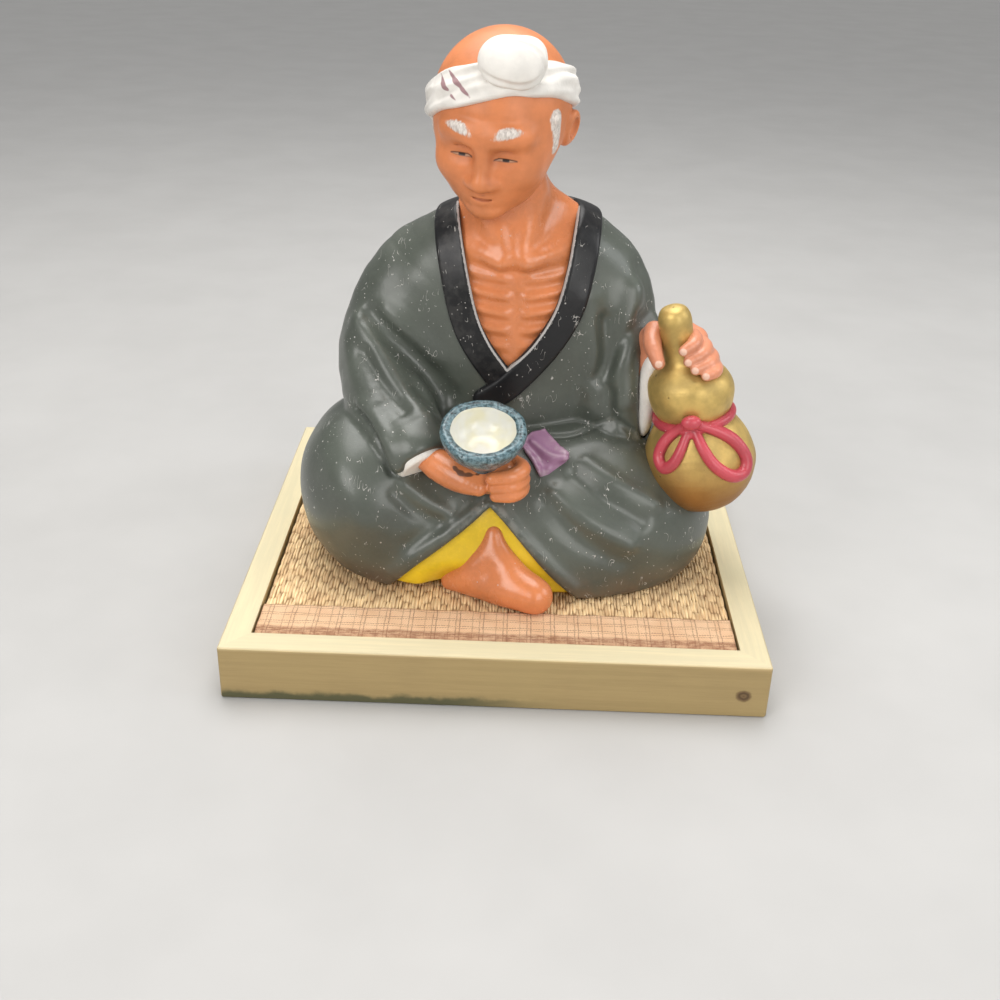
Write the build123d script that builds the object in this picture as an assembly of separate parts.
from build123d import *
import math
import os

# Okimono: a seated figure of painted fired clay, with a cup and a gourd flask, on a framed rush mat.
# The stand's centre on the table is the origin, +Z is up and the figure faces -Y.
# Right and left are the figure's own, so its right hand is on the -X side.
# Heights of the figure are measured from the mat that it sits on.

# Stand: four mitred rails round a base board, in millimetres
STAND_WIDTH = 126.0
STAND_DEPTH = 122.0
STAND_HEIGHT = 14.0
RAIL_WIDTH = 6.5
RAIL_EDGE = 0.4
BOARD_THICKNESS = 2.5
REBATE_DEPTH = 2.0
BOARD_PLAY = 0.15
V_NAIL_LEG = 3.0
V_NAIL_HEIGHT = 6.0
V_NAIL_THICKNESS = 0.4

# Mat: core board, woven rush facing and two cloth edgings
MAT_RECESS = 1.0
MAT_GAP = 0.5
FACING_THICKNESS = 1.5
EDGING_THICKNESS = 0.5
EDGING_CLEARANCE = 0.5

# Robe: a hollow clay shell moulded in two halves
ROBE_WALL = 4.0
PARTING_Y = 6.0
LAP_HALF_WIDTH = 50.0
LAP_FRONT = 34.5
LAP_BACK = 40.5
LAP_HEIGHT = 37.0
LAP_SQUARENESS = 2.6
TORSO_HALF_WIDTH = 35.0
TORSO_HALF_DEPTH = 24.0
TORSO_HEIGHT = 90.0
COLLAR_HALF_WIDTH = 15.5
COLLAR_HALF_DEPTH = 13.0
KNEE_REACH = 51.5
RIGHT_KNEE_RADII = (20.5, 26.0, 21.5)
LEFT_KNEE_RADII = (27.0, 25.0, 18.5)
LEFT_KNEE_DROP = 16.0

# Openings of the robe, and what lies in them
NECKLINE_HALF_WIDTH = 15.0
NECKLINE_DROP = 36.0
CHEST_RECESS = 1.2
COLLAR_WIDTH = 6.5
COLLAR_THICKNESS = 1.2
COLLAR_TAIL = 9.0
HEM_HEIGHT = 21.5
HEM_RIGHT_SPREAD = 24.5
HEM_LEFT_SPREAD = 22.5
HEM_RECESS = 1.0
SASH_RADII = (6.8, 5.2, 2.6)

# Sleeves, cuffs and hands
SLEEVE_RADIUS = 12.0
RIGHT_CUFF_RADIUS = 7.4
CUFF_LENGTH = 3.5
LEFT_CUFF_HALF_HEIGHT = 12.5
LEFT_CUFF_HALF_WIDTH = 6.0
WRIST_RADIUS = 4.2
WRIST_TENON = 3.0
PALM_RADII = (12.0, 7.5, 6.0)
GRIP_RADII = (8.0, 4.8, 5.4)
FINGER_RADIUS = 2.5

# Head, headband and foot
HEAD_RADII = (16.8, 18.5, 17.5)
JAW_RADII = (12.2, 11.5, 11.5)
HEAD_LIFT = 22.0
NECK_RADIUS = 9.5
NECK_PLUG = 14.0
GLUE_GAP = 0.1
EAR_HEIGHT = 11.0
BAND_THICKNESS = 1.8
BAND_HEIGHT = 8.0
BAND_SLOPE = 18.0
BAND_ROLL = 6.0
KNOT_RADII = (7.8, 5.5, 7.0)
FOOT_RADII = (14.0, 8.0, 8.0)
FOOT_REACH = 6.0

# Cup and gourd flask
CUP_RIM_RADIUS = 9.9
CUP_FOOT_RADIUS = 4.2
CUP_HEIGHT = 10.5
CUP_WALL = 1.8
CUP_TILT = 22.0
GOURD_HEIGHT = 53.0
GOURD_BULB_RADIUS = 13.8
GOURD_WAIST_RADIUS = 8.4
GOURD_SHOULDER_RADIUS = 10.8
GOURD_NECK_RADIUS = 4.4
GOURD_LEAN = 12.0
CORD_RADIUS = 1.4
BOW_LOOP_LENGTH = 7.5
BOW_LOOP_WIDTH = 4.2

# Heights and places worked out from the sizes above
MAT_TOP = STAND_HEIGHT - MAT_RECESS
MAT_HALF_WIDTH = STAND_WIDTH / 2 - RAIL_WIDTH - MAT_GAP
MAT_HALF_DEPTH = STAND_DEPTH / 2 - RAIL_WIDTH - MAT_GAP - EDGING_THICKNESS
FIGURE_REACH = max(LAP_BACK, LAP_FRONT + FOOT_REACH)
EDGING_WIDTH = MAT_HALF_DEPTH + EDGING_THICKNESS - FIGURE_REACH - EDGING_CLEARANCE
V_NAIL_INSET = (RAIL_WIDTH - REBATE_DEPTH) / 2
REACH = 2 * (STAND_WIDTH + STAND_DEPTH + TORSO_HEIGHT)
LAP_CENTRE_Y = (LAP_BACK - LAP_FRONT) / 2
LAP_HALF_DEPTH = (LAP_BACK + LAP_FRONT) / 2
NECKLINE_X = COLLAR_HALF_WIDTH / 8
HEM_X = -LAP_HALF_WIDTH / 20
RIGHT_KNEE = Vector(RIGHT_KNEE_RADII[0] - KNEE_REACH, -8, RIGHT_KNEE_RADII[2] - 1.5)
LEFT_KNEE = Vector(KNEE_REACH + 2.5 - LEFT_KNEE_RADII[0], -6, LEFT_KNEE_RADII[2] - 3)
PALM = Vector(-5, 4.5 - LAP_FRONT, LAP_HEIGHT - 6.5)
RIGHT_WRIST = PALM + Vector(-PALM_RADII[0] - 2, 4, 3.5)
CUP_FOOT = PALM + Vector(0.5, -1, PALM_RADII[2] - 1)
GOURD_FOOT = LEFT_KNEE + Vector(LEFT_KNEE_RADII[0] - 3, -7.5, 2)
HEAD = Vector(-2.2, -4, TORSO_HEIGHT + HEAD_LIFT)
LEFT_CUFF = Vector(TORSO_HALF_WIDTH - 1, -7, TORSO_HEIGHT * 0.48)
LEFT_CUFF_AXIS = Vector(0.86, -0.5, 0)


# Helpers for the forms

def ellipsoid(place, radii, turn=(0, 0, 0)):
    return Location(place, turn) * scale(Sphere(1), by=tuple(radii))


def rounded_section(centre, half_width, half_depth, squareness, points=12):
    """A closed outline between an ellipse (squareness 2) and a rectangle."""
    outline = []
    for i in range(points):
        across, along = math.cos(math.tau * i / points), math.sin(math.tau * i / points)
        outline.append(centre + Vector(
            half_width * math.copysign(abs(across) ** (2 / squareness), across),
            half_depth * math.copysign(abs(along) ** (2 / squareness), along)))
    return make_face(Spline(*outline, periodic=True))


def tube(points, radii):
    """A loft through ellipses that stand square to the line through the points."""
    faces = []
    for i, (point, (wide, deep)) in enumerate(zip(points, radii)):
        along = points[min(i + 1, len(points) - 1)] - points[max(i - 1, 0)]
        faces.append((Plane(origin=point, x_dir=(1, 0, 0), z_dir=along) * Ellipse(wide, deep)).face())
    return loft(faces)


def post(start, end, radius):
    """A round bar from start to end."""
    axis = end - start
    return Plane(origin=start, z_dir=axis) * Cylinder(
        radius, axis.length, align=(Align.CENTER, Align.CENTER, Align.MIN))


def front_prism(*corners):
    """A prism along Y, from the parting plane to the front, over an outline in X and Z."""
    outline = Polyline(*[(x, PARTING_Y, z) for x, z in corners], close=True)
    return extrude(make_face(outline), amount=REACH, dir=(0, -1, 0))


def half_space(direction, distance=0.0):
    """Everything on the far side of a plane square to direction."""
    return Pos(*(direction * (distance + REACH / 2))) * Box(REACH, REACH, REACH)


def main_solid(shape):
    """The largest solid of a cut, without loose shavings."""
    return max(shape.solids(), key=lambda solid: solid.volume)


# Robe

def lap_form(inset):
    """Folded legs under the robe, drawn in by inset, and carried on below the mat's surface."""
    sections = ((-0.16, 0, 0.84, 0.88), (0, 0, 0.93, 0.95), (0.24, 0, 1, 1),
                (0.54, 1, 0.96, 0.94), (0.81, 3, 0.80, 0.79), (1, 6, 0.60, 0.60))
    faces = []
    for height, back, wide, deep in sections:
        centre = Vector(0.5, LAP_CENTRE_Y + back, LAP_HEIGHT * height)
        if height == 1:
            centre.Z -= inset
        faces.append(rounded_section(
            centre, LAP_HALF_WIDTH * wide - inset, LAP_HALF_DEPTH * deep - inset, LAP_SQUARENESS))
    right_knee = ellipsoid(RIGHT_KNEE, [r - inset for r in RIGHT_KNEE_RADII])
    left_knee = ellipsoid(LEFT_KNEE, [r - inset for r in LEFT_KNEE_RADII], (0, LEFT_KNEE_DROP, 0))
    return loft(faces) + right_knee + left_knee


def torso_form(inset):
    """Trunk and shoulders under the robe, drawn in by inset."""
    sections = ((0.22, 0, 14, 1.08, 1.12), (0.46, 0, 11, 1, 1), (0.69, 1, 8, 0.98, 0.92),
                (0.83, 1, 6, 0.90, 0.80), (0.92, 1.5, 5, 0.70, 0.67))
    faces = []
    for height, x, y, wide, deep in sections:
        outline = Ellipse(TORSO_HALF_WIDTH * wide - inset, TORSO_HALF_DEPTH * deep - inset)
        faces.append((Pos(x, y, TORSO_HEIGHT * height) * outline).face())
    collar = Ellipse(COLLAR_HALF_WIDTH - inset, COLLAR_HALF_DEPTH - inset)
    faces.append((Pos(NECKLINE_X, 4, TORSO_HEIGHT - max(inset, 0)) * collar).face())
    return loft(faces)


def neckline_edge(side, lift):
    """A point in X and Z on one edge of the neckline, lift above its lowest point."""
    out = side * NECKLINE_HALF_WIDTH * lift / NECKLINE_DROP
    return NECKLINE_X + out, TORSO_HEIGHT - NECKLINE_DROP + lift


def neckline_prism():
    rise = NECKLINE_DROP + COLLAR_WIDTH
    return front_prism(neckline_edge(-1, rise), neckline_edge(1, 0), neckline_edge(1, rise))


def collar_prism(side):
    """The outline of one collar band, which runs on past the neckline's lowest point."""
    top, bottom = neckline_edge(side, NECKLINE_DROP + COLLAR_WIDTH), neckline_edge(side, -COLLAR_TAIL)
    width = side * COLLAR_WIDTH
    return front_prism(top, (top[0] + width, top[1]), (bottom[0] + width, bottom[1]), bottom)


def hem_prism():
    """The gap between the skirts, from its top down past the mat's surface."""
    low = -0.1
    return front_prism(
        (HEM_X, HEM_HEIGHT),
        (HEM_X - HEM_RIGHT_SPREAD * (1 - low), HEM_HEIGHT * low),
        (HEM_X + HEM_LEFT_SPREAD * (1 - low), HEM_HEIGHT * low))


# Head

def neck_column(radius):
    return post(Vector(1, 1, TORSO_HEIGHT - NECK_PLUG), HEAD, radius)


def head():
    jaw = ellipsoid(HEAD + Vector(-1, -8.5, 7 - HEAD_RADII[2]), JAW_RADII, (18, 0, 0))
    nose = ellipsoid(HEAD + Vector(-1.5, -HEAD_RADII[1] - 1, -6.5), (2.6, 2.8, 4.2), (-12, 0, 0))
    skull = ellipsoid(HEAD, HEAD_RADII) + jaw + nose + neck_column(NECK_RADIUS)
    ear_radii = (EAR_HEIGHT * 0.2, EAR_HEIGHT * 0.3, EAR_HEIGHT / 2)
    for side in (-1, 1):
        ear_place = HEAD + Vector(side * HEAD_RADII[0] * 0.97, 1.5, -5)
        skull += ellipsoid(ear_place, ear_radii, (0, side * 8, 0))
    return skull


def over_band():
    return ellipsoid(HEAD, [r + BAND_THICKNESS for r in HEAD_RADII])


def headband():
    place = Location(HEAD + Vector(0, 0, BAND_HEIGHT / 2), (-BAND_SLOPE, -BAND_ROLL, 0))
    level = place * Box(REACH, REACH, BAND_HEIGHT)
    return (over_band() & level) - head()


def headband_knot():
    place = HEAD + Vector(3.4, -HEAD_RADII[1] * 0.80, HEAD_RADII[2] * 0.70)
    return ellipsoid(place, KNOT_RADII, (-35, 0, 0)) - over_band()


# Sleeves and cuffs

def right_sleeve_form():
    """From the shoulder down to the elbow and forward to the wrist, on the lap."""
    wide, high, r = TORSO_HALF_WIDTH, TORSO_HEIGHT, SLEEVE_RADIUS
    elbow = Vector(-wide * 0.86, 1, high * 0.56)
    points = [Vector(-wide * 0.37, 6, high * 0.85), Vector(-wide * 0.66, 5, high * 0.755), elbow,
              (elbow + RIGHT_WRIST) * 0.5 + Vector(-3, 0, -4), RIGHT_WRIST]
    radii = [(r * 0.72, r * 0.75), (r * 0.95, r), (r, r * 1.05), (r * 0.90, r * 0.95), (r * 0.75, r * 0.75)]
    return tube(points, radii)


def left_sleeve_form():
    """From the shoulder straight down to the left knee."""
    wide, high, r = TORSO_HALF_WIDTH, TORSO_HEIGHT, SLEEVE_RADIUS
    sections = ((0.46, 7, 0.90, 0.66, 0.80), (0.70, 4, 0.755, 0.84, 1), (0.786, 0, 0.60, 0.78, 1.15),
                (0.786, -3, 0.444, 0.72, 1.15), (0.786, -3, 0.27, 0.66, 0.95))
    return loft([(Pos(wide * x, y, high * z) * Ellipse(r * a, r * b)).face() for x, y, z, a, b in sections])


def right_cuff_axis():
    return (PALM + Vector(0, 0, 2) - RIGHT_WRIST).normalized()


def right_cuff_form():
    half = right_cuff_axis() * CUFF_LENGTH / 2
    return post(RIGHT_WRIST - half, RIGHT_WRIST + half, RIGHT_CUFF_RADIUS)


def left_cuff_form():
    plane = Plane(origin=LEFT_CUFF, x_dir=(0.5, 0.86, 0), z_dir=LEFT_CUFF_AXIS)
    slot = plane * Ellipse(LEFT_CUFF_HALF_WIDTH, LEFT_CUFF_HALF_HEIGHT)
    return extrude(slot.face(), amount=CUFF_LENGTH / 2, dir=LEFT_CUFF_AXIS, both=True)


# Cup and gourd flask

def cup_form(bowl_depth):
    """The cup, standing on the palm and tipped to the front; a bowl depth of 0 leaves it solid."""
    foot, rim, top = CUP_FOOT_RADIUS, CUP_RIM_RADIUS, CUP_HEIGHT
    outline = [(0, 0), (foot, 0), (foot, top * 0.14)]
    outline += [(rim * 0.86, top * 0.55), (rim, top * 0.86), (rim, top)]
    if bowl_depth:
        floor = top - bowl_depth
        outline += [(rim - CUP_WALL, top), (rim * 0.86 - CUP_WALL, top * 0.60), (foot, floor)]
        outline.append((0, floor))
    else:
        outline.append((0, top))
    half = make_face(Polyline(*[(x, 0, z) for x, z in outline], close=True))
    return Plane(origin=CUP_FOOT).rotated((CUP_TILT, 0, 0)) * revolve(half, Axis.Z)


def gourd_plane():
    """The gourd's foot on the left knee, with its axis leaning towards the body."""
    return Plane(origin=GOURD_FOOT).rotated((0, -GOURD_LEAN, 0))


def gourd_point(height, radius, angle):
    """A place on or beside the gourd; angle 0 is its front."""
    a = math.radians(angle)
    return gourd_plane().from_local_coords(Vector(radius * math.sin(a), -radius * math.cos(a), height))


def gourd_form(outset=0.0):
    h, foot, plug = GOURD_HEIGHT, GOURD_BULB_RADIUS * 0.45, GOURD_NECK_RADIUS * 0.8
    side = Spline(
        (foot, 0, 0),
        (GOURD_BULB_RADIUS + outset, 0, h * 0.26),
        (GOURD_WAIST_RADIUS + outset, 0, h * 0.475),
        (GOURD_SHOULDER_RADIUS + outset, 0, h * 0.60),
        (GOURD_NECK_RADIUS + outset, 0, h * 0.78),
        (GOURD_NECK_RADIUS + outset, 0, h * 0.94),
        (plug, 0, h),
        tangents=[(1, 0, 0.4), (-1, 0, 0.6)])
    ends = Polyline((plug, 0, h), (0, 0, h), (0, 0, 0), (foot, 0, 0))
    return gourd_plane() * revolve(make_face([side, ends]), Axis.Z)


def cord_form():
    return gourd_plane() * Pos(0, 0, GOURD_HEIGHT * 0.475) * Torus(GOURD_WAIST_RADIUS, CORD_RADIUS)


def bow_form():
    """A knot on the cord with two flat loops that hang over the lower bulb."""
    bow = ellipsoid(gourd_point(GOURD_HEIGHT * 0.455, GOURD_WAIST_RADIUS + CORD_RADIUS, 6),
                    (CORD_RADIUS * 1.6, CORD_RADIUS * 1.4, CORD_RADIUS * 1.4))
    stretch = (BOW_LOOP_WIDTH - CORD_RADIUS, BOW_LOOP_LENGTH - CORD_RADIUS, CORD_RADIUS * 2.6)
    loop = scale(Torus(1, 0.33), by=stretch)
    for side, angle in ((-1, -24), (1, 30)):
        place = gourd_point(GOURD_HEIGHT * 0.355, GOURD_BULB_RADIUS * 0.93, angle)
        bow += Location(place) * Rot(62, 0, 0) * Rot(0, side * 22, side * 40) * loop
    return bow


# Hands, foot and sash

def right_hand_form():
    """An open palm with four fingers together, and a tenon at the wrist."""
    r = FINGER_RADIUS
    hand = ellipsoid(PALM, PALM_RADII, (0, 0, -18))
    for i in range(4):
        hand += ellipsoid(PALM + Vector(6 + i, 3 * i - 5.6, -0.5), (r * 2.4, r * 1.1, r * 1.5), (0, 0, -25))
    axis = right_cuff_axis()
    tenon = RIGHT_WRIST + axis * (CUFF_LENGTH / 2 - WRIST_TENON)
    return hand + post(tenon, RIGHT_WRIST + axis * PALM_RADII[0], WRIST_RADIUS)


def left_hand_form():
    """A fist round the gourd's neck, and a tenon at the wrist."""
    grip, r = GOURD_HEIGHT * 0.80, FINGER_RADIUS
    palm = gourd_point(grip, GOURD_NECK_RADIUS + 2.5, 170)
    hand = ellipsoid(palm, GRIP_RADII, (0, -GOURD_LEAN, 8))
    for i in range(4):
        finger = Torus(GOURD_NECK_RADIUS + r + i, r * 0.85, major_angle=205)
        hand += gourd_plane() * Pos(0, 0, grip + r - i * r) * Rot(0, 0, 6 * i - 95) * finger
    thumb = Torus(GOURD_NECK_RADIUS + r + 0.6, r, major_angle=125)
    hand += gourd_plane() * Pos(0, 0, grip - 1.5) * Rot(0, 0, 90) * thumb
    wrist = LEFT_CUFF + Vector(0, 0, LEFT_CUFF_HALF_HEIGHT * 0.6)
    tenon = wrist + LEFT_CUFF_AXIS * (CUFF_LENGTH / 2 - WRIST_TENON)
    return hand + post(tenon, palm, WRIST_RADIUS)


def foot_form():
    place = (0.5, FOOT_RADII[1] - FOOT_REACH - LAP_FRONT, 5.5)
    return ellipsoid(place, FOOT_RADII, (0, 24, -20))


def sash_form():
    return ellipsoid((10.5, 14 - LAP_FRONT, LAP_HEIGHT - 4.5), SASH_RADII, (28, 12, -15))


# The figure's pieces, each cut by the larger ones that it meets

def figure_parts():
    below = half_space(Vector(0, 0, -1))
    front = half_space(Vector(0, -1, 0), -PARTING_Y)
    torso, torso_hollow = torso_form(0), torso_form(ROBE_WALL)
    lap, lap_hollow = lap_form(0), lap_form(ROBE_WALL)
    neckline, hem, neck_hole = neckline_prism(), hem_prism(), neck_column(NECK_RADIUS + GLUE_GAP)
    body = torso + lap - below
    shell = body - (torso_hollow + lap_hollow) - neck_hole

    gourd, cord, bow = gourd_form(), cord_form(), bow_form()
    right_hand, left_hand = right_hand_form(), left_hand_form()
    right_cuff, left_cuff = right_cuff_form(), left_cuff_form()
    right_sleeve, left_sleeve = right_sleeve_form(), left_sleeve_form()
    left_band = collar_prism(1)
    collar_stock = torso_form(-COLLAR_THICKNESS) - torso - lap - neckline - neck_hole

    pieces = {
        "robe_front_shell": (shell & front) - neckline - hem,
        "robe_back_shell": shell - front,
        "chest": ((torso_form(CHEST_RECESS) - torso_hollow) & neckline) - neck_hole,
        "hem_lining": ((lap_form(HEM_RECESS) - lap_hollow) & hem) - below,
        "collar_right": (collar_stock & collar_prism(-1)) - left_band - right_sleeve,
        "collar_left": (collar_stock & left_band) - left_sleeve,
        "sleeve_right": right_sleeve - body - right_cuff - right_hand,
        "sleeve_left": left_sleeve - body - left_cuff - left_hand - gourd,
        "cuff_right": right_cuff - body - right_hand,
        "cuff_left": left_cuff - body - left_hand - gourd,
        "hand_right": right_hand - body - cup_form(0),
        "hand_left": left_hand - body - gourd_form(GLUE_GAP),
        "head": head(),
        "headband": headband(),
        "headband_knot": headband_knot(),
        "foot": foot_form() - body - below,
        "sake_cup": cup_form(CUP_HEIGHT * 0.7) - body,
        "gourd_flask": gourd - body,
        "gourd_cord": cord - gourd - body,
        "gourd_bow": bow - gourd - cord - body,
        "sash_end": sash_form() - body,
    }
    return {name: main_solid(shape) for name, shape in pieces.items()}


# The stand's pieces

def v_nails():
    """A small folded steel plate pressed up into each mitre from below."""
    plates = []
    out_x, out_y = STAND_WIDTH / 2 - V_NAIL_INSET, STAND_DEPTH / 2 - V_NAIL_INSET
    for side_x in (-1, 1):
        for side_y in (-1, 1):
            apex = Vector(side_x * out_x, side_y * out_y)
            ends = apex - Vector(side_x * V_NAIL_LEG, 0), apex - Vector(0, side_y * V_NAIL_LEG)
            line = Polyline(ends[0], apex, ends[1])
            outline = make_face(offset(line, amount=V_NAIL_THICKNESS / 2))
            plates.append(extrude(outline, amount=V_NAIL_HEIGHT, dir=(0, 0, 1)).solid())
    return Compound(children=plates)


def edging(side):
    """A strip of cloth over one end of the mat: a flap on top and a flap down the end."""
    end = MAT_HALF_DEPTH + EDGING_THICKNESS
    top_flap = Pos(0, side * (end - EDGING_WIDTH / 2), MAT_TOP + EDGING_THICKNESS / 2) * Box(
        2 * MAT_HALF_WIDTH, EDGING_WIDTH, EDGING_THICKNESS)
    end_flap = Pos(0, side * (end - EDGING_THICKNESS / 2), (BOARD_THICKNESS + MAT_TOP) / 2) * Box(
        2 * MAT_HALF_WIDTH, EDGING_THICKNESS, MAT_TOP - BOARD_THICKNESS)
    return top_flap + end_flap


def slab(half_width, half_depth, bottom, top):
    return Pos(0, 0, (bottom + top) / 2) * Box(2 * half_width, 2 * half_depth, top - bottom)


def stand_parts():
    half_x, half_y = STAND_WIDTH / 2, STAND_DEPTH / 2
    inner_x, inner_y = half_x - RAIL_WIDTH, half_y - RAIL_WIDTH
    nails = v_nails()
    frame = chamfer(slab(half_x, half_y, 0, STAND_HEIGHT).edges(), RAIL_EDGE)
    frame -= slab(inner_x, inner_y, -STAND_HEIGHT, 2 * STAND_HEIGHT)
    frame -= slab(inner_x + REBATE_DEPTH, inner_y + REBATE_DEPTH, -STAND_HEIGHT, BOARD_THICKNESS)
    frame -= nails

    def rail(side_x, side_y):
        """The quarter of the frame between two mitres, on the side that is not 0."""
        outer, inner = [], []
        for end in (-1, 1):
            corner = Vector(side_x or end, side_y or end)
            outer.append(Vector(corner.X * half_x, corner.Y * half_y))
            inner.append(outer[-1] - corner * RAIL_WIDTH * 1.5)
        wedge = make_face(Polyline(outer[0], outer[1], inner[1], inner[0], close=True))
        return frame & extrude(wedge, amount=STAND_HEIGHT, dir=(0, 0, 1))

    board_play = REBATE_DEPTH - BOARD_PLAY
    core_top = MAT_TOP - FACING_THICKNESS
    return {
        "frame_front_rail": rail(0, -1),
        "frame_back_rail": rail(0, 1),
        "frame_left_rail": rail(-1, 0),
        "frame_right_rail": rail(1, 0),
        "corner_v_nails": nails,
        "base_board": slab(inner_x + board_play, inner_y + board_play, 0, BOARD_THICKNESS),
        "mat_core": slab(MAT_HALF_WIDTH, MAT_HALF_DEPTH, BOARD_THICKNESS, core_top),
        "rush_facing": slab(MAT_HALF_WIDTH, MAT_HALF_DEPTH, core_top, MAT_TOP),
        "edging_front": edging(-1),
        "edging_back": edging(1),
    }


def main():
    os.makedirs("parts", exist_ok=True)
    for name, shape in stand_parts().items():
        export_step(shape, f"parts/{name}.step")
    for name, shape in figure_parts().items():
        export_step(Pos(0, 0, MAT_TOP) * shape, f"parts/{name}.step")


if __name__ == "__main__":
    main()
